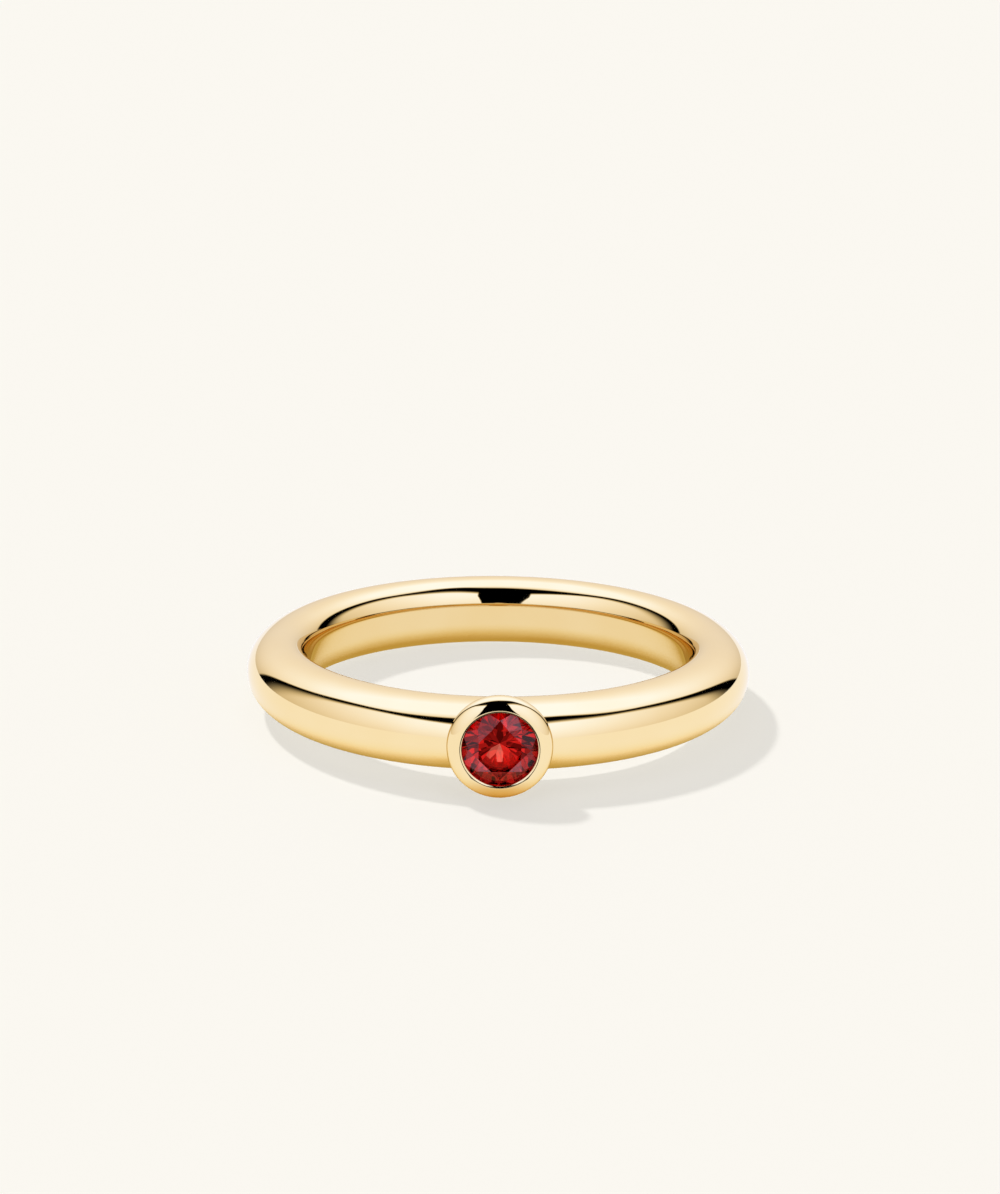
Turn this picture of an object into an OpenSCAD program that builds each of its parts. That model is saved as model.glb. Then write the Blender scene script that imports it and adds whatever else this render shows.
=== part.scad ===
// Gemstone stacking ring: a plain polished oval-wire band with one round stone in a smooth bezel.
// Millimetres, +Z up. The ring lies on its side as it does when it is put down: it rests on the
// foot of the bezel in front (-Y) and on the back of the band, so its finger hole leans a little.
// The origin is on the surface under the middle of the ring.

/* [Band] */
// Diameter of the finger hole
hole_d = 17.3; // [15:0.1:21]
// Height of the straight strip that touches the finger
finger_strip = 0.72; // [0.5:0.02:1.0]
// Radius of the rounding from that strip up the inner face
inner_face_r = 1.35; // [1.2:0.05:1.5]
// Radius of the tighter rounding over the inner shoulder
inner_shoulder_r = 0.97; // [0.8:0.01:1.1]
// Radius of the rounding over the outer shoulder
outer_shoulder_r = 1.76; // [1.6:0.02:1.9]
// Angle above the horizontal at which one rounding runs into the next
blend_angle = 44; // [42:1:48]

/* [Bezel] */
// Outer diameter of the bezel
bezel_d = 4.56; // [4.4:0.02:4.8]
// Distance from the band's outermost line to the widest plane of the bezel
bezel_stand = 0.21; // [0.1:0.01:0.35]
// Radius of the rounding round the bezel's side
side_r = 0.41; // [0.35:0.01:0.45]
// Radius of the rounding across the bezel's front
front_r = 0.77; // [0.65:0.01:0.8]
// Angle from the bezel's axis at which the side rounding runs into the front one
front_angle = 42.5; // [38:0.5:46]
// Radius of the burnished lip round the stone
lip_r = 0.12; // [0.1:0.01:0.14]
// Angle from the bezel's axis at which the front rounding runs into the lip
lip_angle = 8.4; // [5:0.2:12]
// Slope of the cup behind the bezel, from the bezel's axis
cup_angle = 40; // [35:1:45]

/* [Stone] */
// Girdle diameter of the round brilliant stone
stone_d = 3.5; // [3.4:0.05:3.6]
// Table width from corner to corner, as a share of the girdle diameter
table_share = 0.56; // [0.53:0.01:0.6]
// Slope of the eight kite facets of the crown
crown_angle = 34.5; // [32:0.5:36]
// Slope of the eight main facets of the pavilion
pavilion_angle = 41; // [40:0.5:43]
// Thickness of the girdle
girdle_h = 0.06; // [0.04:0.01:0.1]
// How far the girdle's upper edge lies in front of the bezel's widest plane
girdle_stand = 0.2; // [0.15:0.01:0.22]
// Length of the star facets, as a share of the way from table to girdle
star_share = 0.5; // [0.45:0.01:0.55]
// Length of the lower half facets, as a share of the way from girdle to point
lower_share = 0.77; // [0.72:0.01:0.82]
// Clearance between the stone and its seat
seat_gap = 0.03; // [0.02:0.005:0.04]

/* [Hidden] */
$fn = 96;
gold = [0.93, 0.76, 0.42];
garnet = [0.55, 0.03, 0.06];

// Band section, in distance from the finger axis and height
hole_r = hole_d / 2;
half_w = finger_strip / 2 + inner_face_r * sin(blend_angle)
    + inner_shoulder_r * (1 - sin(blend_angle));
nose_r = (half_w - outer_shoulder_r * (1 - sin(blend_angle))) / sin(blend_angle);
crest_r = hole_r + inner_face_r * (1 - cos(blend_angle)) + inner_shoulder_r * cos(blend_angle);
nose_centre = crest_r + (outer_shoulder_r - nose_r) * cos(blend_angle);
band_r = nose_centre + nose_r;
inner_face_centre = [hole_r + inner_face_r, finger_strip / 2];
inner_shoulder_centre = [crest_r, half_w - inner_shoulder_r];
outer_shoulder_centre = [crest_r, half_w - outer_shoulder_r];

// Bezel section, in distance from the bezel's axis and distance in front of its widest plane
bezel_r = bezel_d / 2;
bezel_plane = band_r + bezel_stand;
side_centre = [bezel_r - side_r, 0];
front_centre = side_centre - polar(front_r - side_r, 90 - front_angle);
lip_centre = front_centre + polar(front_r - lip_r, 90 - lip_angle);
cup_start = side_centre + polar(side_r, -cup_angle);
cup_depth = 1.5;
cup_end_r = cup_start[0] - (cup_depth + cup_start[1]) * tan(cup_angle);
lip_end_angle = 12;
opening_r = lip_centre[0] - lip_r * cos(lip_end_angle);

// How roundings that run into each other are joined: the tighter one stands proud by a hair and
// carries on under the wider one, and the straight-sided core ends well inside them
proud = 0.002;
run_on = 15;
inset = 0.2;

// Stone facets, from the girdle's upper edge
facets = 8;
facet_step = 360 / facets;
stone_r = stone_d / 2;
table_corner_r = stone_r * table_share;
table_flat_r = table_corner_r * cos(facet_step / 2);
crown_h = (stone_r - table_corner_r) * tan(crown_angle);
half_facet_r = stone_r * cos(facet_step / 4);
star_r = table_flat_r + star_share * (stone_r - table_flat_r);
star_h = tan(crown_angle) * (stone_r - star_r * cos(facet_step / 2));
upper_half_angle = atan(star_h / (half_facet_r - star_r * cos(facet_step / 4)));
pavilion_h = stone_r * tan(pavilion_angle);
lower_r = (1 - lower_share) * stone_r;
lower_h = tan(pavilion_angle) * (stone_r - lower_r * cos(facet_step / 2));

// How the ring lies: one straight line touches the foot of the bezel and the back of the band
rest_rise = side_centre[0] - outer_shoulder_centre[1];
rest_run = crest_r + bezel_plane;
rest_drop = outer_shoulder_r - side_r;
rest_tilt = acos(rest_drop / norm([rest_rise, rest_run])) - atan2(rest_run, rest_rise);
floor_drop = crest_r * sin(rest_tilt) + outer_shoulder_centre[1] * cos(rest_tilt)
    + outer_shoulder_r;
back_reach = nose_centre * cos(rest_tilt) + nose_r;
front_reach = (bezel_plane + girdle_stand + crown_h) * cos(rest_tilt)
    + table_flat_r * sin(rest_tilt);
middle_y = (front_reach - back_reach) / 2;

function polar(r, a) = r * [cos(a), sin(a)];
function flipped(p) = [p[0], -p[1]];

// Slice of a disc between two angles
module slice(centre, r, from, to) {
    reach = 2 * r;
    translate(centre)
        intersection() {
            circle(r);
            polygon([[0, 0], polar(reach, from), polar(reach, (from + to) / 2), polar(reach, to)]);
        }
}

// Band section: seven arcs round a straight-sided core, the same above and below the middle
module band_section() {
    shoulder_r = inner_shoulder_r + proud;
    face_end = 180 - blend_angle;
    slice(inner_face_centre, inner_face_r, face_end, 180);
    slice(inner_shoulder_centre, shoulder_r, 90 - run_on, face_end + run_on);
    slice(outer_shoulder_centre, outer_shoulder_r, blend_angle, 90);
    slice([nose_centre, 0], nose_r + proud, -blend_angle - run_on, blend_angle + run_on);
    slice(flipped(outer_shoulder_centre), outer_shoulder_r, -90, -blend_angle);
    slice(flipped(inner_shoulder_centre), shoulder_r, -face_end - run_on, run_on - 90);
    slice(flipped(inner_face_centre), inner_face_r, 180, 360 - face_end);
    face_side = inner_shoulder_centre + polar(inner_shoulder_r - inset, face_end);
    crest = [crest_r, half_w - inset];
    nose_side = outer_shoulder_centre + polar(outer_shoulder_r - inset, blend_angle);
    polygon([
        [hole_r, finger_strip / 2],
        [hole_r, -finger_strip / 2],
        flipped(face_side),
        flipped(crest),
        flipped(nose_side),
        nose_side,
        crest,
        face_side
    ]);
}

module band() {
    rotate_extrude() band_section();
}

// Bezel as a solid button with a cup behind it, along +Z from its widest plane
module bezel_button() {
    rotate_extrude() {
        translate(side_centre) circle(side_r + proud);
        slice(front_centre, front_r, 90 - front_angle, 90 - lip_angle);
        translate(lip_centre) circle(lip_r + proud);
        polygon([
            [0, -cup_depth],
            [cup_end_r, -cup_depth],
            cup_start,
            side_centre,
            front_centre + polar(front_r - side_r / 2, 90 - front_angle),
            lip_centre + [0, lip_r / 2],
            lip_centre,
            [opening_r, lip_centre[1]],
            [0, lip_centre[1]]
        ]);
    }
}

// Hollow for the stone: the opening in the lip, the undercut for the girdle and the cone below
module stone_seat() {
    seat_r = stone_r + seat_gap;
    crown_at_lip = (half_facet_r - opening_r * cos(facet_step / 4)) * tan(upper_half_angle);
    lip_foot = girdle_stand + crown_at_lip + seat_gap;
    undercut_top = lip_foot - (seat_r - opening_r) * tan(crown_angle);
    undercut_foot = girdle_stand - girdle_h - seat_gap;
    point = girdle_stand - girdle_h - pavilion_h - 2 * seat_gap;
    clear_front = front_r;
    rotate_extrude()
        polygon([
            [0, point],
            [seat_gap, point],
            [seat_r, undercut_foot],
            [seat_r, undercut_top],
            [opening_r, lip_foot],
            [opening_r, clear_front],
            [0, clear_front]
        ]);
}

// One row of corners round the stone's axis
function corners(n, r, h, turn) = [for (k = [0 : n - 1]) concat(polar(r, turn + k * 360 / n), h)];

// Round brilliant along +Z from the girdle's upper edge, with two table edges level and a main facet
// of the pavilion behind each table edge
module brilliant() {
    halves = 2 * facets;
    table = 0;
    star = table + facets;
    girdle = star + facets;
    girdle_foot = girdle + halves;
    lower = girdle_foot + halves;
    point = lower + facets;
    steps = [0 : facets - 1];
    polyhedron(
        points = concat(
            corners(facets, table_corner_r, crown_h, facet_step / 2),
            corners(facets, star_r, star_h, 0),
            corners(halves, stone_r, 0, 0),
            corners(halves, stone_r, -girdle_h, 0),
            corners(facets, lower_r, -girdle_h - lower_h, facet_step / 2),
            [[0, 0, -girdle_h - pavilion_h]]
        ),
        faces = concat(
            [[for (k = steps) star - 1 - k]],
            [for (k = steps) let (last = (k + facets - 1) % facets)
                [table + last, table + k, star + k]],
            [for (k = steps) let (next = (k + 1) % facets)
                [table + k, star + next, girdle + 2 * k + 1, star + k]],
            [for (k = steps) let (last = (2 * k + halves - 1) % halves)
                [star + k, girdle + 2 * k, girdle + last]],
            [for (k = steps) [star + k, girdle + 2 * k + 1, girdle + 2 * k]],
            [for (j = [0 : halves - 1]) let (next = (j + 1) % halves)
                [girdle + j, girdle + next, girdle_foot + next, girdle_foot + j]],
            [for (k = steps) [girdle_foot + 2 * k, girdle_foot + 2 * k + 1, lower + k]],
            [for (k = steps) let (next = (2 * k + 2) % halves)
                [girdle_foot + 2 * k + 1, girdle_foot + next, lower + k]],
            [for (k = steps) let (last = (k + facets - 1) % facets)
                [girdle_foot + 2 * k, lower + k, point, lower + last]]
        )
    );
}

// From the bezel's own axis to its place at the front of the ring, facing -Y
module at_bezel() {
    translate([0, -bezel_plane, 0]) rotate([90, 0, 0]) children();
}

// From the ring's own frame, with the finger hole along Z, to how it lies on a surface
module at_rest() {
    translate([0, middle_y, floor_drop]) rotate([-rest_tilt, 0, 0]) children();
}

// Band and bezel, cast and soldered into one piece of metal
module band_and_bezel() {
    color(gold)
        at_rest()
            difference() {
                union() {
                    band();
                    at_bezel() bezel_button();
                }
                at_bezel() stone_seat();
            }
}

// Faceted stone held under the bezel's lip
module gemstone() {
    color(garnet)
        at_rest() at_bezel() translate([0, 0, girdle_stand]) brilliant();
}

band_and_bezel();
gemstone();
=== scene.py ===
import math

import bmesh
import bpy
from mathutils import Matrix, Vector


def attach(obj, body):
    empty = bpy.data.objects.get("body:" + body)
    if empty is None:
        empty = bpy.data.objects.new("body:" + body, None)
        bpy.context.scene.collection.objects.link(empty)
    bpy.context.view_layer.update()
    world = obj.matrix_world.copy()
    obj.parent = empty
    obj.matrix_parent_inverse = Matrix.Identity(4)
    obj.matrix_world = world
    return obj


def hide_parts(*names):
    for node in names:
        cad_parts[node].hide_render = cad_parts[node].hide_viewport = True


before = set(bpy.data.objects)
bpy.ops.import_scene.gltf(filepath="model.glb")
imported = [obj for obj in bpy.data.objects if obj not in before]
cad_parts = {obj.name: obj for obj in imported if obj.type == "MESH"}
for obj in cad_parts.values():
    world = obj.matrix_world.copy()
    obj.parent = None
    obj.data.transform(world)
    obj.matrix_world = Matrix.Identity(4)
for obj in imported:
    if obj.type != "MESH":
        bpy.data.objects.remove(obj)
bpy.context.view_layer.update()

# Band and bezel. One piece of cast metal, gold-plated and mirror-polished: an oval-wire band with a
# short flat strip round the finger, and a round cup with a rolled lip, soldered to its outside with
# a hair of solder that rounds the corner between them. All sizes are in millimetres.
HOLE_R = 8.65
STRIP_HALF = 0.36
BLEND = 44
FACE_R, INNER_SHOULDER_R, OUTER_SHOULDER_R = 1.35, 0.97, 1.76
BLEND_SIN, BLEND_COS = math.sin(math.radians(BLEND)), math.cos(math.radians(BLEND))
HALF_WIDTH = STRIP_HALF + FACE_R * BLEND_SIN + INNER_SHOULDER_R * (1 - BLEND_SIN)
CREST_R = HOLE_R + FACE_R * (1 - BLEND_COS) + INNER_SHOULDER_R * BLEND_COS
NOSE_R = (HALF_WIDTH - OUTER_SHOULDER_R * (1 - BLEND_SIN)) / BLEND_SIN
NOSE_CENTRE = CREST_R + (OUTER_SHOULDER_R - NOSE_R) * BLEND_COS
BEZEL_PLANE = NOSE_CENTRE + NOSE_R + 0.21

# Each rounding of the band's section: the lean it ends at, its centre and its radius.
BAND_ROUNDINGS = [
    (BLEND, NOSE_CENTRE, 0, NOSE_R),
    (90, CREST_R, HALF_WIDTH - OUTER_SHOULDER_R, OUTER_SHOULDER_R),
    (180 - BLEND, CREST_R, HALF_WIDTH - INNER_SHOULDER_R, INNER_SHOULDER_R),
    (180, HOLE_R + FACE_R, STRIP_HALF, FACE_R),
]


def on_circle(centre, radius, angle):
    """Point of a circle in a section, at an angle from its first axis."""
    return (centre[0] + radius * math.cos(math.radians(angle)),
            centre[1] + radius * math.sin(math.radians(angle)))


def band_section(lean):
    """Distance from the finger axis and height where the band's surface faces up by this lean."""
    for end, centre, height, radius in BAND_ROUNDINGS:
        if abs(lean) <= end:
            break
    out, up = on_circle((centre, height), radius, abs(lean))
    return out, math.copysign(up, lean)


def on_band(turn, lean):
    """Point of the band, turned by this angle from the front towards +X."""
    out, up = band_section(lean)
    return Vector((out * math.sin(turn), -out * math.cos(turn), up))


def band_lean(point):
    """Lean of the band's outer surface nearest to a point outside it, and the gap between them."""
    out, up = math.hypot(point.x, point.y), abs(point.z)
    for end, centre, height, radius in BAND_ROUNDINGS[:2]:
        lean = math.degrees(math.atan2(up - height, out - centre))
        if lean <= end:
            break
    return math.copysign(lean, point.z), math.hypot(out - centre, up - height) - radius


metal = bmesh.new()

# The band: its section drawn in front, and spun round the finger.
TURNS = 288
WINDOW_TURNS = 11
NOSE_STEPS, SHOULDER_STEPS, FACE_STEPS, STRIP_STEPS = 10, 11, 11, 3
leans = [BLEND * k / NOSE_STEPS for k in range(NOSE_STEPS)]
for start in (BLEND, 90):
    leans += [start + (90 - BLEND) * k / SHOULDER_STEPS for k in range(SHOULDER_STEPS)]
leans += [180 - BLEND + BLEND * k / FACE_STEPS for k in range(FACE_STEPS + 1)]
outline = [band_section(lean) for lean in leans]
outline += [(HOLE_R, STRIP_HALF * (1 - k / STRIP_STEPS)) for k in range(1, STRIP_STEPS + 1)]
lower = [(out, -up) for out, up in outline[1:-1]]
outline += lower[::-1]
corners = [metal.verts.new((0, -out, up)) for out, up in outline]
rim = [metal.edges.new(pair) for pair in zip(corners, corners[1:] + corners[:1])]
bmesh.ops.spin(metal, geom=corners + rim, axis=(0, 0, 1), cent=(0, 0, 0), angle=math.tau,
               steps=TURNS, use_merge=True)

# A window is left in front, where the cup is soldered on.
window = math.tau * WINDOW_TURNS / TURNS
opened = []
for face in metal.faces:
    middle = face.calc_center_median()
    turn = math.atan2(middle.x, -middle.y)
    if abs(turn) < window and math.hypot(middle.x, middle.y) > CREST_R:
        opened.append(face)
bmesh.ops.delete(metal, geom=opened, context="FACES")
window_rim = {v for e in metal.edges if e.is_boundary for v in e.verts}
window_rim = sorted(window_rim, key=lambda v: math.atan2(v.co.z, v.co.x) % math.tau)
window_turns = [math.atan2(v.co.x, -v.co.y) for v in window_rim]
window_leans = [band_lean(v.co)[0] for v in window_rim]

# The cup's own section, in distance from its axis and distance in front of its widest plane. The
# seat behind the stone stays hidden, so it follows the stone only roughly.
BEZEL_R, SIDE_R, FRONT_R, LIP_R = 2.28, 0.41, 0.77, 0.12
SIDE_TO_FRONT, FRONT_TO_LIP, LIP_END, CUP_LEAN = 47.5, 81.6, 168, -40
SIDE_STEPS, FRONT_STEPS, LIP_STEPS = 10, 10, 12
SOLDER_R, CUP_LENGTH, BALL_MOVES = 0.1, 2.0, 50
CUP_ROWS, SOLDER_ROWS, BAND_ROWS = 12, 8, 9
side_centre = (BEZEL_R - SIDE_R, 0)
front_centre = on_circle(side_centre, SIDE_R - FRONT_R, SIDE_TO_FRONT)
lip_centre = on_circle(front_centre, FRONT_R - LIP_R, FRONT_TO_LIP)
cup_start = on_circle(side_centre, SIDE_R, CUP_LEAN)
opening_r = on_circle(lip_centre, LIP_R, LIP_END)[0]
seat = [(0, -1.44), (0.3, -1.18), (0.9, -0.66), (1.4, -0.23), (1.78, 0.11), (1.78, 0.22),
        (1.70, 0.3), (opening_r, 0.355)]
cup = seat + [on_circle(lip_centre, LIP_R, LIP_END - (LIP_END - FRONT_TO_LIP) * k / LIP_STEPS)
              for k in range(LIP_STEPS)]
front_turn = FRONT_TO_LIP - SIDE_TO_FRONT
cup += [on_circle(front_centre, FRONT_R, FRONT_TO_LIP - front_turn * k / FRONT_STEPS)
        for k in range(FRONT_STEPS)]
cup += [on_circle(side_centre, SIDE_R, SIDE_TO_FRONT * (1 - k / SIDE_STEPS))
        for k in range(SIDE_STEPS + 1)]


def cup_foot(reach):
    """Point and outward direction of the cup's side, this far below the start of its cone."""
    if reach < 0:
        lean = CUP_LEAN - math.degrees(reach / SIDE_R)
        return on_circle(side_centre, SIDE_R, lean), on_circle((0, 0), 1, lean)
    out = on_circle((0, 0), 1, CUP_LEAN)
    return (cup_start[0] + reach * out[1], cup_start[1] - reach * out[0]), out


def at_cup(distance, height, angle):
    """Point by its distance from the cup's axis and its distance in front of the widest plane."""
    return Vector((distance * math.cos(angle), -BEZEL_PLANE - height, distance * math.sin(angle)))


def skirt(angle, window_turn, window_lean):
    """One line of the surface, from the cup's widest plane over the solder onto the band.

    A ball of solder is moved down the cup, in ever smaller steps, to where it just meets the band.
    """
    start = SIDE_R * math.radians(CUP_LEAN)
    low, high = start, CUP_LENGTH
    for _ in range(BALL_MOVES):
        reach = (low + high) / 2
        (distance, height), (out, front) = cup_foot(reach)
        middle = at_cup(distance + SOLDER_R * out, height + SOLDER_R * front, angle)
        lean, gap = band_lean(middle)
        low, high = (reach, high) if gap > SOLDER_R else (low, reach)
    line = []
    for k in range(1, CUP_ROWS):
        (distance, height), _ = cup_foot(start + (reach - start) * k / CUP_ROWS)
        line.append(at_cup(distance, height, angle))
    turn = math.atan2(middle.x, -middle.y)
    (distance, height), _ = cup_foot(reach)
    from_cup = (at_cup(distance, height, angle) - middle).normalized()
    from_band = (on_band(turn, lean) - middle).normalized()
    for k in range(SOLDER_ROWS + 1):
        line.append(middle + SOLDER_R * from_cup.slerp(from_band, k / SOLDER_ROWS))
    for k in range(1, BAND_ROWS + 1):
        share = k / BAND_ROWS
        line.append(on_band(turn + (window_turn - turn) * share,
                            lean + (window_lean - lean) * share))
    return line


# The cup is spun with as many steps as the window's rim has corners. The skirt's rows are spun as
# flat circles outside it, a millimetre apart, and then put in their places line by line.
SKIRT_FROM = 10
NEAR_ENOUGH = 1e-4
cup += [(SKIRT_FROM + k, 0) for k in range(CUP_ROWS + SOLDER_ROWS + BAND_ROWS)]
corners = [metal.verts.new(at_cup(distance, height, 0)) for distance, height in cup]
rim = [metal.edges.new(pair) for pair in zip(corners, corners[1:])]
bmesh.ops.spin(metal, geom=corners + rim, axis=(0, 1, 0), cent=(0, 0, 0), angle=-math.tau,
               steps=len(window_rim), use_merge=True)
lines = {}
metal.verts.ensure_lookup_table()
for v in [v for v in metal.verts if abs(v.co.y + BEZEL_PLANE) < NEAR_ENOUGH]:
    row = round(math.hypot(v.co.x, v.co.z) - SKIRT_FROM)
    if row < 0:
        continue
    column = round(math.atan2(v.co.z, v.co.x) / math.tau * len(window_rim)) % len(window_rim)
    if column not in lines:
        lines[column] = skirt(math.tau * column / len(window_rim), window_turns[column],
                              window_leans[column])
    v.co = lines[column][row]
bmesh.ops.remove_doubles(metal, verts=metal.verts, dist=5 * NEAR_ENOUGH)
bmesh.ops.recalc_face_normals(metal, faces=metal.faces)

# The spins leave the faces in another order each time, so they are put in one order.
metal.verts.index_update()
metal.faces.sort(key=lambda face: face.verts[0].index * len(metal.verts) + face.verts[2].index)

# It lies on its side, on the foot of the cup and the back of the band, as the CAD part does.
MM = 0.001
TILT, MIDDLE_Y, MIDDLE_UP = math.radians(1.838), 0.48349, 1.90603
lying = Matrix.Translation((0, MIDDLE_Y * MM, MIDDLE_UP * MM)) @ Matrix.Rotation(-TILT, 4, "X")
bmesh.ops.transform(metal, matrix=lying @ Matrix.Scale(MM, 4), verts=metal.verts)
for face in metal.faces:
    face.smooth = True
ring_mesh = bpy.data.meshes.new("polished_ring")
metal.to_mesh(ring_mesh)
metal.free()
ring = bpy.data.objects.new("polished_ring", ring_mesh)
bpy.context.collection.objects.link(ring)


def feed(value, socket):
    """Gives a socket a plain value, or links it to another node's output."""
    if isinstance(value, bpy.types.NodeSocket):
        links.new(value, socket)
    else:
        socket.default_value = value


def reckon(kind, *values):
    """One step of arithmetic, on plain values or on other nodes' outputs."""
    node = nodes.new("ShaderNodeMath")
    node.operation = kind
    for value, socket in zip(values, node.inputs):
        feed(value, socket)
    return node.outputs[0]


def rise(value, start, end, low=0, high=1):
    """A soft step from low to high, as the value goes from start to end."""
    node = nodes.new("ShaderNodeMapRange")
    node.interpolation_type = "SMOOTHSTEP"
    for setting, socket in zip((value, start, end, low, high), node.inputs):
        feed(setting, socket)
    return node.outputs["Result"]


def ramp(value, stops):
    """Colour by place along a line, from a table of places and their colours."""
    node = nodes.new("ShaderNodeValToRGB")
    feed(value, node.inputs["Fac"])
    while len(node.color_ramp.elements) < len(stops):
        node.color_ramp.elements.new(0.5)
    for place, stop in zip(stops, node.color_ramp.elements):
        stop.position = place
    for colour, stop in zip(stops.values(), node.color_ramp.elements):
        stop.color = (*colour, 1)
    return node.outputs["Color"]


# Soft random values over a piece, for the colour, the gloss and the polish of metal and stone.
clouding = bpy.data.node_groups.new("clouding", "ShaderNodeTree")
clouding.interface.new_socket("Clouds per metre", in_out="INPUT", socket_type="NodeSocketFloat")
clouding.interface.new_socket("Fineness", in_out="INPUT", socket_type="NodeSocketFloat")
clouding.interface.new_socket("Cloud", in_out="OUTPUT", socket_type="NodeSocketFloat")
nodes, links = clouding.nodes, clouding.links
asked, given = nodes.new("NodeGroupInput"), nodes.new("NodeGroupOutput")
clouds = nodes.new("ShaderNodeTexNoise")
links.new(nodes.new("ShaderNodeTexCoord").outputs["Object"], clouds.inputs["Vector"])
links.new(asked.outputs["Clouds per metre"], clouds.inputs["Scale"])
links.new(asked.outputs["Fineness"], clouds.inputs["Detail"])
links.new(clouds.outputs["Fac"], given.inputs["Cloud"])


def cloudy(size, fine=2):
    """The clouding, in clouds of about this many millimetres."""
    node = nodes.new("ShaderNodeGroup")
    node.node_tree = clouding
    node.inputs["Clouds per metre"].default_value = 1 / (size * MM)
    node.inputs["Fineness"].default_value = fine
    return node.outputs["Cloud"]


# Gold plating of slightly uneven colour, and the faint waviness that a polishing wheel leaves.
WAVINESS = 0.0022
gold = bpy.data.materials.new("polished_gold")
gold.use_nodes = True
nodes, links = gold.node_tree.nodes, gold.node_tree.links
shader = nodes["Principled BSDF"]
shader.inputs["Metallic"].default_value = 1
plating = ramp(cloudy(3.5), {0.3: (0.962, 0.742, 0.375), 0.7: (0.975, 0.772, 0.418)})
links.new(plating, shader.inputs["Base Color"])
links.new(rise(cloudy(1.6, 4), 0.35, 0.7, 0.022, 0.06), shader.inputs["Roughness"])
bump = nodes.new("ShaderNodeBump")
bump.inputs["Strength"].default_value = 1
bump.inputs["Distance"].default_value = WAVINESS * MM
links.new(cloudy(2.2, 1), bump.inputs["Height"])
links.new(bump.outputs["Normal"], shader.inputs["Normal"])
ring_mesh.materials.append(gold)
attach(ring, "root")
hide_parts("band_and_bezel")

# Gemstone. A round brilliant of clear deep red stone, cut with 57 flat facets and polished, held
# under the cup's lip with its table to the front. Its sizes are in millimetres too.
GEM_R = 1.75
GIRDLE, GIRDLE_STAND = 0.06, 0.2
TABLE_R, LOWER_END_R = 0.56 * GEM_R, 0.23 * GEM_R
CROWN, PAVILION = 34.5, 41
CROWN_H = (GEM_R - TABLE_R) * math.tan(math.radians(CROWN))
PAVILION_H = GEM_R * math.tan(math.radians(PAVILION))
table_flat = TABLE_R * math.cos(math.pi / 8)
half_facet_r = GEM_R * math.cos(math.pi / 16)
star_r = (table_flat + GEM_R) / 2
star_h = math.tan(math.radians(CROWN)) * (GEM_R - star_r * math.cos(math.pi / 8))
STAR = math.degrees(math.atan((CROWN_H - star_h) / (star_r - table_flat)))
UPPER = math.degrees(math.atan(star_h / (half_facet_r - star_r * math.cos(math.pi / 16))))
lower_h = math.tan(math.radians(PAVILION)) * (GEM_R - LOWER_END_R * math.cos(math.pi / 8))
LOWER = math.degrees(math.atan(lower_h / (half_facet_r - LOWER_END_R * math.cos(math.pi / 16))))

# It is ground from a round blank.
stone = bmesh.new()
bmesh.ops.create_cone(stone, cap_ends=True, segments=96, radius1=GEM_R, radius2=GEM_R, depth=4)


def cut_facet(slope, angle, distance, height):
    """Grinds away what lies in front of one flat facet through this distance and height."""
    lean, turn = math.radians(slope), math.radians(angle)
    out = Vector((math.cos(turn), math.sin(turn), 0))
    facing = out * math.sin(lean) + Vector((0, 0, math.cos(lean)))
    bmesh.ops.bisect_plane(stone, geom=stone.verts[:] + stone.edges[:] + stone.faces[:], dist=1e-5,
                           plane_co=out * distance + Vector((0, 0, height)), plane_no=facing,
                           clear_outer=True)
    bmesh.ops.holes_fill(stone, edges=[e for e in stone.edges if e.is_boundary], sides=0)


cut_facet(0, 0, 0, CROWN_H)
for k in range(8):
    cut_facet(CROWN, 45 * k + 22.5, GEM_R, 0)
    cut_facet(180 - PAVILION, 45 * k, GEM_R, -GIRDLE)
for k in range(8):
    cut_facet(STAR, 45 * k, table_flat, CROWN_H)
    for half in (-11.25, 11.25):
        cut_facet(UPPER, 45 * k + half, half_facet_r, 0)
        cut_facet(180 - LOWER, 45 * k + 22.5 + half, half_facet_r, -GIRDLE)
bmesh.ops.remove_doubles(stone, verts=stone.verts, dist=NEAR_ENOUGH)
bmesh.ops.recalc_face_normals(stone, faces=stone.faces)

# The painted light in it. Some facets are marked with how much painted glow they give in the place
# of light from behind, how much painted glint they show in the place of a bright window's
# reflection, or how much painted shade darkens them, by slope and then by direction.
FACET_MARKS = {
    "painted_glow_from_behind": {180 - PAVILION: {225: 0.8, 270: 1, 315: 0.35}},
    "painted_glint": {
        CROWN: {67.5: 1.2, 112.5: 0.5, 157.5: 0.4, 202.5: 0.45, 22.5: 0.35, 337.5: 0.2},
        STAR: {225: 1.2, 315: 1, 135: 0.65, 45: 0.4, 180: 0.3}},
    "painted_shade": {
        CROWN: {112.5: 0.3, 247.5: 0.6, 292.5: 0.5},
        STAR: {90: 0.5, 270: 0.35},
        UPPER: {258.75: 0.55, 281.25: 0.35, 236.25: 0.7, 303.75: 0.6, 326.25: 0.5, 78.75: 0.45,
                101.25: 0.3, 168.75: 0.5, 146.25: 0.35, 11.25: 0.5}},
}
FAINT_PAINTED_GLOW = 0.3
SAME_SLOPE, SAME_DIRECTION = 0.3, 2
stone.normal_update()
for name in FACET_MARKS:
    stone.faces.layers.float.new(name)
marks = stone.faces.layers.float
for face in stone.faces:
    slope = math.degrees(math.acos(max(-1, min(1, face.normal.z))))
    toward = math.degrees(math.atan2(face.normal.y, face.normal.x)) % 360
    # The other lower facets on that side get a faint painted glow.
    lower_facet = 100 < slope < 175
    on_lit_side = 220 < toward < 320
    if lower_facet and on_lit_side:
        face[marks["painted_glow_from_behind"]] = FAINT_PAINTED_GLOW
    for name, slopes in FACET_MARKS.items():
        for its_slope, shares in slopes.items():
            for angle, share in shares.items():
                if abs(slope - its_slope) < SAME_SLOPE and abs(toward - angle) < SAME_DIRECTION:
                    face[marks[name]] = share

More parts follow.
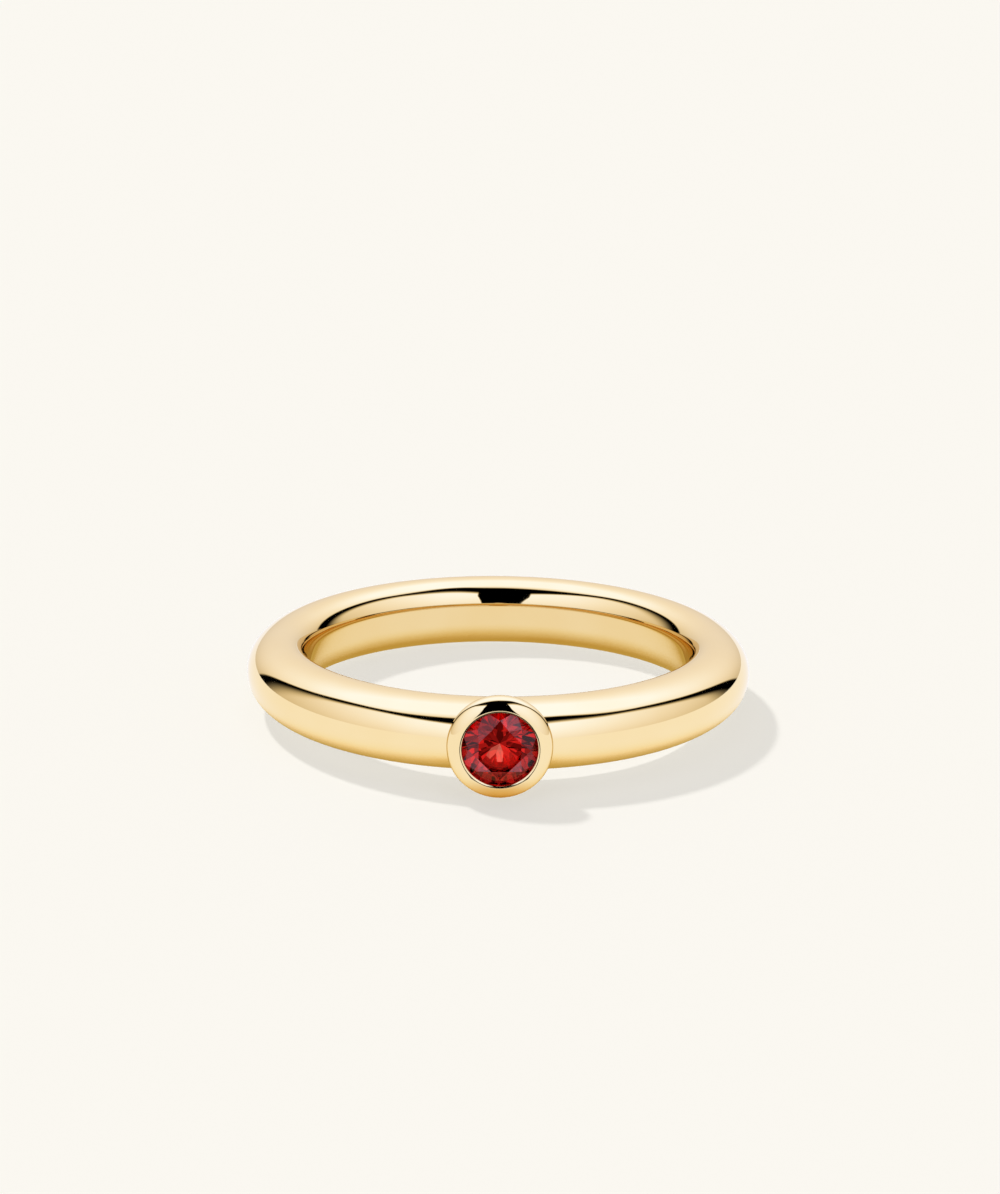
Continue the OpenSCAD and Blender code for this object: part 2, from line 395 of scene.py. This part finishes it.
# It is set in the cup, with its table to the front.
in_cup = Matrix.Translation((0, -BEZEL_PLANE, 0)) @ Matrix.Rotation(math.pi / 2, 4, "X")
in_cup = in_cup @ Matrix.Translation((0, 0, GIRDLE_STAND))
in_place = lying @ Matrix.Scale(MM, 4) @ in_cup
bmesh.ops.transform(stone, matrix=in_place, verts=stone.verts)
gem_mesh = bpy.data.meshes.new("red_gemstone")
stone.to_mesh(gem_mesh)
stone.free()
gem = bpy.data.objects.new("red_gemstone", gem_mesh)
bpy.context.collection.objects.link(gem)


def mixed(share, first, second, how="MIX"):
    """Two colours, mixed by a share of the second."""
    node = nodes.new("ShaderNodeMix")
    node.data_type = "RGBA"
    node.blend_type = how
    feed(share, node.inputs["Factor"])
    feed(first, node.inputs[6])
    feed(second, node.inputs[7])
    return node.outputs[2]


def marked(layer):
    """What each facet was given in this layer."""
    node = nodes.new("ShaderNodeAttribute")
    node.attribute_name = layer
    return node.outputs["Fac"]


# Clear red stone, a little cloudy in its colour. A painted glow, in the place of light from behind,
# shows in petals round the stone's point, with a weaker painted ring of glow round them.
PETALS_FADE, RING_FADE, RING_LIGHT = (0.93, 0.97), (1.1, 1.4), 0.2
# The colours of the painted glint and of the painted facet shade.
PAINTED_GLINT_COLOUR, PAINTED_SHADE_COLOUR = (0.075, 0.06, 0.075, 1), (0.05, 0.0, 0.0, 1)
red = bpy.data.materials.new("red_stone")
red.use_nodes = True
nodes, links = red.node_tree.nodes, red.node_tree.links
shader = nodes["Principled BSDF"]
clarity = ramp(cloudy(1.1, 3), {0.3: (0.86, 0.035, 0.028), 0.7: (0.97, 0.075, 0.055)})
links.new(rise(cloudy(0.6), 0.4, 0.8, 0.0, 0.02), shader.inputs["Roughness"])
shader.inputs["IOR"].default_value = 1.77
shader.inputs["Specular Tint"].default_value = (0.08, 0.07, 0.06, 1)
shader.inputs["Transmission Weight"].default_value = 1
behind = marked("painted_glow_from_behind")
from_culet = nodes.new("ShaderNodeVectorMath")
from_culet.operation = "DISTANCE"
links.new(nodes.new("ShaderNodeTexCoord").outputs["Object"], from_culet.inputs[0])
from_culet.inputs[1].default_value = in_place @ Vector((0, 0, -GIRDLE - PAVILION_H))


def within(fades_from, fades_to):
    """The painted glow from behind near the stone's point, which fades out between two distances."""
    share = rise(from_culet.outputs["Value"], fades_from * MM, fades_to * MM, 1, 0)
    return reckon("MULTIPLY", behind, share)


# The painted marks count only for what is seen first, so no facet's painted glow lights up another.
path = nodes.new("ShaderNodeLightPath")
on_surface = reckon("LESS_THAN", path.outputs["Ray Depth"], 0.5)
just_inside = reckon("LESS_THAN", path.outputs["Ray Depth"], 1.5)
petals = within(*PETALS_FADE)
around = reckon("MINIMUM", within(*RING_FADE), RING_LIGHT)
shine = reckon("MULTIPLY", reckon("MAXIMUM", petals, around), just_inside)
# The colour of the painted glow, by its strength.
through = ramp(shine, {0: (0, 0, 0), 0.35: (0.3, 0.08, 0.06), 0.8: (0.42, 0.45, 0.35),
                       1: (0.5, 0.75, 0.6)})
# Painted glints on the marked facets, given as emission.
painted_glint_share = reckon("MULTIPLY", marked("painted_glint"), on_surface)
links.new(mixed(painted_glint_share, through, PAINTED_GLINT_COLOUR, "ADD"), shader.inputs["Emission Color"])
# Painted shade on the marked facets, which darkens their colour towards a near-black red.
painted_shade_share = reckon("MULTIPLY", marked("painted_shade"), on_surface)
links.new(mixed(painted_shade_share, clarity, PAINTED_SHADE_COLOUR), shader.inputs["Base Color"])
shader.inputs["Emission Strength"].default_value = 1
depth = nodes.new("ShaderNodeVolumeAbsorption")
depth.inputs["Color"].default_value = (0.95, 0.1, 0.1, 1)
depth.inputs["Density"].default_value = 250
links.new(depth.outputs["Volume"], nodes["Material Output"].inputs["Volume"])
gem_mesh.materials.append(red)
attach(gem, "root")
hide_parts("gemstone")

# Studio. A pale paper floor without an edge and soft light, as in a photographer's tent: a large
# sheet above and behind, and two sheets in front with a dark slot for the camera between them. The
# metal mirrors the sheets, and the dark lines in it are the gaps between them.
PAPER = (0.959, 0.933, 0.874, 1)
bpy.ops.mesh.primitive_plane_add(size=6, location=(0, 0, 0))
floor = bpy.context.object
floor.name = "floor"
paper = bpy.data.materials.new("pale_paper")
paper.use_nodes = True
nodes, links = paper.node_tree.nodes, paper.node_tree.links
shader = nodes["Principled BSDF"]
shader.inputs["Base Color"].default_value = PAPER
shader.inputs["Roughness"].default_value = 1
shader.inputs["Specular IOR Level"].default_value = 0


def twice_mirrored(path):
    """One for what the metal shows after two reflections or more, else nothing."""
    return reckon("GREATER_THAN", path.outputs["Glossy Depth"], 1.5)


# What is mirrored twice gets painted shade: it is made darker and of a deeper gold.
PAINTED_TWICE_MIRRORED_SHADE = (0.75, 0.68, 0.55, 1)

# In the metal the paper glows with painted shade: a little darker and warmer close to the ring and
# inside it, the more it is closed in, and most of all under the cup. The light that the metal throws
# back on it is a weak painted glow.
PAINTED_SHADE_UNDER_CUP, PAINTED_LIGHT_FROM_METAL = (0.80, 0.60, 0.33, 1), (0.38, 0.46, 0.75, 1)
PAST_BAND_R, CUP_FOOT_Y, UNDER_CUP_FULL, UNDER_CUP_GONE = 11, -11.7, 0.2, 2.4
occlusion_for_painted_shade = nodes.new("ShaderNodeAmbientOcclusion")
occlusion_for_painted_shade.samples = 8
occlusion_for_painted_shade.inputs["Distance"].default_value = 10 * MM
painted_paper_light = ramp(occlusion_for_painted_shade.outputs["AO"], {
    0.25: (0.64, 0.47, 0.16), 0.38: (0.74, 0.56, 0.26), 0.5: (0.93, 0.81, 0.58),
    0.62: (0.96, 0.94, 0.87), 0.8: (0.975, 1.0, 1.12)})
painted_shade_inside = ramp(occlusion_for_painted_shade.outputs["AO"], {0.38: (0.7, 0.62, 0.33), 0.65: (0.91, 0.86, 0.76)})
spot = nodes.new("ShaderNodeNewGeometry").outputs["Position"]
place = nodes.new("ShaderNodeSeparateXYZ")
links.new(spot, place.inputs["Vector"])


def apart(first, second):
    """How far apart two places are that differ by this much in two directions."""
    return reckon("SQRT", reckon("ADD", reckon("MULTIPLY", first, first),
                                 reckon("MULTIPLY", second, second)))


from_axis = apart(place.outputs["X"], place.outputs["Y"])
inward = rise(from_axis, HOLE_R * MM, PAST_BAND_R * MM, 1, 0)
from_cup = nodes.new("ShaderNodeVectorMath")
from_cup.operation = "DISTANCE"
links.new(spot, from_cup.inputs[0])
from_cup.inputs[1].default_value = (0, CUP_FOOT_Y * MM, 0)
under_cup = rise(from_cup.outputs["Value"], UNDER_CUP_GONE * MM, UNDER_CUP_FULL * MM)

# A round dark place in the stone's table and in the metal round it is painted shade: a dark oval on
# the paper, seen only in reflections, that stands for the camera's stand in front of the ring. It is
# a long oval on the paper, so it stays round in them.
STAND_RISE, STAND_R, STAND_BLUR, PAINTED_STAND_SHADE = math.tan(math.radians(18.4)), 2.1, 0.1, 0.03
CUP_FRONT, STAND_FROM, STAND_TO = 0.3, -13.5, -13.1
cup_front_y = lying.translation.y - (BEZEL_PLANE + CUP_FRONT) * MM
mirrored_up = reckon("MULTIPLY", reckon("SUBTRACT", cup_front_y, place.outputs["Y"]), STAND_RISE)
mirrored_up = reckon("SUBTRACT", mirrored_up, lying.translation.z)
from_painted_stand = apart(place.outputs["X"], mirrored_up)
beside_painted_stand = rise(from_painted_stand, (STAND_R - STAND_BLUR) * MM, (STAND_R + STAND_BLUR) * MM,
                    PAINTED_STAND_SHADE, 1)
behind_painted_stand = rise(place.outputs["Y"], STAND_FROM * MM, STAND_TO * MM)
glow = nodes.new("ShaderNodeEmission")
path = nodes.new("ShaderNodeLightPath")
# The painted shade inside the ring, under the cup and in second reflections.
painted_paper_light = mixed(inward, painted_paper_light, painted_shade_inside, "MULTIPLY")
painted_paper_light = mixed(under_cup, painted_paper_light, PAINTED_SHADE_UNDER_CUP, "MULTIPLY")
painted_paper_light = mixed(twice_mirrored(path), painted_paper_light, PAINTED_TWICE_MIRRORED_SHADE, "MULTIPLY")
# After a bounce off the paper, the paper shows the weak painted glow instead.
after_paper = reckon("GREATER_THAN", path.outputs["Diffuse Depth"], 0.5)
links.new(mixed(after_paper, painted_paper_light, PAINTED_LIGHT_FROM_METAL), glow.inputs["Color"])
# Inside the oval the paper's glow is painted down to a dark shade.
links.new(reckon("MAXIMUM", beside_painted_stand, behind_painted_stand), glow.inputs["Strength"])
seen = nodes.new("ShaderNodeMixShader")
links.new(path.outputs["Is Camera Ray"], seen.inputs["Fac"])
links.new(glow.outputs["Emission"], seen.inputs[1])
links.new(shader.outputs["BSDF"], seen.inputs[2])
links.new(seen.outputs["Shader"], nodes["Material Output"].inputs["Surface"])
paper.cycles.emission_sampling = "NONE"
floor.data.materials.append(paper)
floor.visible_transmission = False


def lamp(name, strength, angle, rotation, casts):
    """A far lamp, as wide in the sky as this angle, which the metal and the stone don't mirror."""
    light = bpy.data.lights.new(name, "SUN")
    light.energy = strength * math.pi
    light.angle = math.radians(angle)
    light.use_shadow = casts
    holder = bpy.data.objects.new(name, light)
    holder.rotation_euler = [math.radians(turn) for turn in rotation]
    holder.visible_glossy = holder.visible_transmission = False
    bpy.context.collection.objects.link(holder)


lamp("key_light", 0.27, 5, (-41, 0, 38), True)
lamp("fill_light", 0.58, 40, (0, 0, 0), False)

# The sheets, as the metal sees them. Each ends along a smooth curve, and gets brighter or darker
# over its length. Dim light from them is warm, and full light is cool, as by a window.
EVEN_LIGHT, BACKGROUND = (0.22, 0.22, 0.22, 1), (0.955, 0.929, 0.871, 1)
DIM_LIGHT, FULL_LIGHT = (1.43, 1.25, 0.95, 1), (1.1, 1.32, 2.03, 1)
EDGE_BLUR, GAP_BLUR, BRIGHTEST = 0.05, 0.006, 0.945
studio = bpy.data.worlds.new("studio")
bpy.context.scene.world = studio
studio.use_nodes = True
studio.cycles.sampling_method = "NONE"
nodes, links = studio.node_tree.nodes, studio.node_tree.links
sky = nodes["Background"]


def drawn(value, heights, low, high):
    """A value from -1 to 1 through a smooth curve, whose heights are given by place."""
    node = nodes.new("ShaderNodeFloatCurve")
    feed(reckon("MULTIPLY_ADD", value, 0.5, 0.5), node.inputs["Value"])
    curve = node.mapping.curves[0]
    while len(curve.points) < len(heights):
        curve.points.new(0.5, 0.5)
    for point, (place, height) in zip(curve.points, heights.items()):
        point.location = (place / 2 + 0.5, (height - low) / (high - low))
        point.handle_type = "AUTO_CLAMPED"
    node.mapping.update()
    return reckon("MULTIPLY_ADD", node.outputs[0], high - low, low)


def falloff(even, by_up, by_near):
    """Brightness of one sheet, which changes with the height and nearness looked at."""
    return reckon("MULTIPLY_ADD", up, by_up, reckon("MULTIPLY_ADD", near, by_near, even))


looking = nodes.new("ShaderNodeTexCoord").outputs["Generated"]
turned = nodes.new("ShaderNodeVectorRotate")
turned.rotation_type = "X_AXIS"
links.new(looking, turned.inputs["Vector"])
turned.inputs["Angle"].default_value = TILT
split = nodes.new("ShaderNodeSeparateXYZ")
links.new(turned.outputs["Vector"], split.inputs["Vector"])
across, far, up = split.outputs
near = reckon("MULTIPLY", far, -1)
span = apart(across, up)
side = reckon("DIVIDE", reckon("ARCTAN2", across, reckon("MAXIMUM", up, 1e-4)), math.pi / 2)

# Where the top sheet ends, where the front sheets begin, and over how far they grow to their full
# light. Each is drawn from the left of the ring over its top to the right.
edge = drawn(side, {-1: -1.2, -0.8: -0.91, -0.5: -0.22, -0.2: 0.38, 0: 0.42, 0.2: 0.25, 0.35: 0.17,
                    0.5: -0.11, 0.8: -0.82, 1: -1.17}, -1.3, 0.5)
past = reckon("SUBTRACT", reckon("DIVIDE", near, span), edge)
above = rise(past, EDGE_BLUR, -EDGE_BLUR)
begins = drawn(side, {-1: 0.3, -0.6: 0.14, 0: 0.5, 0.4: 0.13, 0.8: 0.28, 1: 0.36}, 0, 1)
grows = drawn(side, {-1: 0.45, -0.8: 0.52, -0.5: 0.23, 0: 0.55, 0.6: 0.2, 1: 0.5}, 0, 1)
before = rise(past, begins, reckon("ADD", begins, grows))
widens = reckon("MINIMUM", near, 0.82)
slot_left = reckon("MULTIPLY_ADD", widens, 0.28, reckon("MULTIPLY", up, 0.14))
slot_right = reckon("MULTIPLY_ADD", widens, 0.208, reckon("MULTIPLY", up, 0.042))
from_left = reckon("SUBTRACT", reckon("MULTIPLY", across, -1), slot_left)
open_left = rise(from_left, -GAP_BLUR, GAP_BLUR)
open_right = rise(reckon("SUBTRACT", across, slot_right), -GAP_BLUR, GAP_BLUR)
before = reckon("MULTIPLY", before, reckon("ADD", open_left, open_right))

# The top sheet is brightest behind the ring's top and dims towards the front. The front sheets
# change only a little.
off_brightest = reckon("SUBTRACT", reckon("SUBTRACT", up, near), 1.2)
dimming = reckon("MULTIPLY", off_brightest, off_brightest)
towards_back = reckon("MULTIPLY_ADD", dimming, -1.05, 0.79)
above = reckon("MULTIPLY", above, falloff(towards_back, 0.3, 0.22))
before = reckon("MULTIPLY", before, falloff(0.58, 0.3, 0.22))
level = reckon("MINIMUM", reckon("ADD", above, before), BRIGHTEST)
coolness = reckon("POWER", reckon("DIVIDE", level, BRIGHTEST), 3)
mirrored_light = mixed(1, level, mixed(coolness, DIM_LIGHT, FULL_LIGHT), "MULTIPLY")


# Through the stone the same studio shows broken up, into brighter and darker strips.
def strips(by_across, by_up, start, strength):
    """Waves of this strength over the studio, close together where the first two are large."""
    along = reckon("MULTIPLY_ADD", up, by_up, start)
    along = reckon("MULTIPLY_ADD", across, by_across, along)
    return reckon("MULTIPLY", reckon("SINE", along), strength)


broken = reckon("MULTIPLY_ADD", across, -0.14, 0.50)
broken = reckon("MULTIPLY_ADD", up, reckon("MULTIPLY_ADD", up, -0.11, -0.06), broken)
broken = reckon("ADD", broken, strips(-10, 4, -0.75, 0.15))
broken = reckon("ADD", broken, strips(-3, 9, -0.84, 0.17))
broken = reckon("MAXIMUM", reckon("ADD", broken, strips(-6, 14, 2.83, 0.10)), 0.08)
broken = reckon("MULTIPLY", reckon("MULTIPLY", broken, broken), 1.2)

# Only mirrored rays meet the sheets. The paper and the background see an even, pale studio.
path = nodes.new("ShaderNodeLightPath")
mirrored = reckon("MAXIMUM", path.outputs["Is Glossy Ray"], path.outputs["Is Transmission Ray"])
mirrored = reckon("MULTIPLY", mirrored, reckon("LESS_THAN", path.outputs["Diffuse Depth"], 0.5))
plain = mixed(path.outputs["Is Camera Ray"], EVEN_LIGHT, BACKGROUND)
# The sheets mirrored twice get the same painted shade.
mirrored_light = mixed(twice_mirrored(path), mirrored_light, PAINTED_TWICE_MIRRORED_SHADE, "MULTIPLY")
sheets = mixed(path.outputs["Is Transmission Ray"], mirrored_light, broken)
links.new(mixed(mirrored, plain, sheets), sky.inputs["Color"])
sky.inputs["Strength"].default_value = 1

# Camera, at the photograph's angle: 16.8 degrees above the plane of the band, half a degree to the
# left and rolled half a degree. It is aimed so that the ring's middle falls on the photograph's
# pixel RING_X, RING_Y, with no shift.
RISE, ROLL, SWING = math.radians(16.83), math.radians(0.512), math.radians(0.5)
DISTANCE, FOCAL_PX = 171.25, 3756.3
PHOTO_WIDTH, PHOTO_HEIGHT = 1000, 1194
RING_X, RING_Y = 498.15, 667.45
SENSOR = 36
away = Vector((-math.cos(RISE) * math.sin(SWING), -math.cos(RISE) * math.cos(SWING), math.sin(RISE)))
level_right = Vector((math.cos(SWING), -math.sin(SWING), 0))
level_up = away.cross(level_right)
right = level_right * math.cos(ROLL) + level_up * math.sin(ROLL)
upward = level_up * math.cos(ROLL) - level_right * math.sin(ROLL)
aside, above_ring = PHOTO_WIDTH / 2 - RING_X, RING_Y - PHOTO_HEIGHT / 2
gaze = (right * aside + upward * above_ring - away * FOCAL_PX).normalized()
right = (right - gaze * right.dot(gaze)).normalized()
upward = right.cross(gaze)
facing = Matrix((right, upward, -gaze)).transposed().to_4x4()
camera_data = bpy.data.cameras.new("camera")
camera = bpy.data.objects.new("camera", camera_data)
bpy.context.collection.objects.link(camera)
camera_data.sensor_width = SENSOR
camera_data.lens = FOCAL_PX / PHOTO_HEIGHT * SENSOR
camera.matrix_world = lying @ Matrix.Translation(away * DISTANCE * MM) @ facing
camera_data.clip_start, camera_data.clip_end = 0.01, 20
bpy.context.scene.camera = camera
bpy.context.scene.view_settings.view_transform = "Standard"
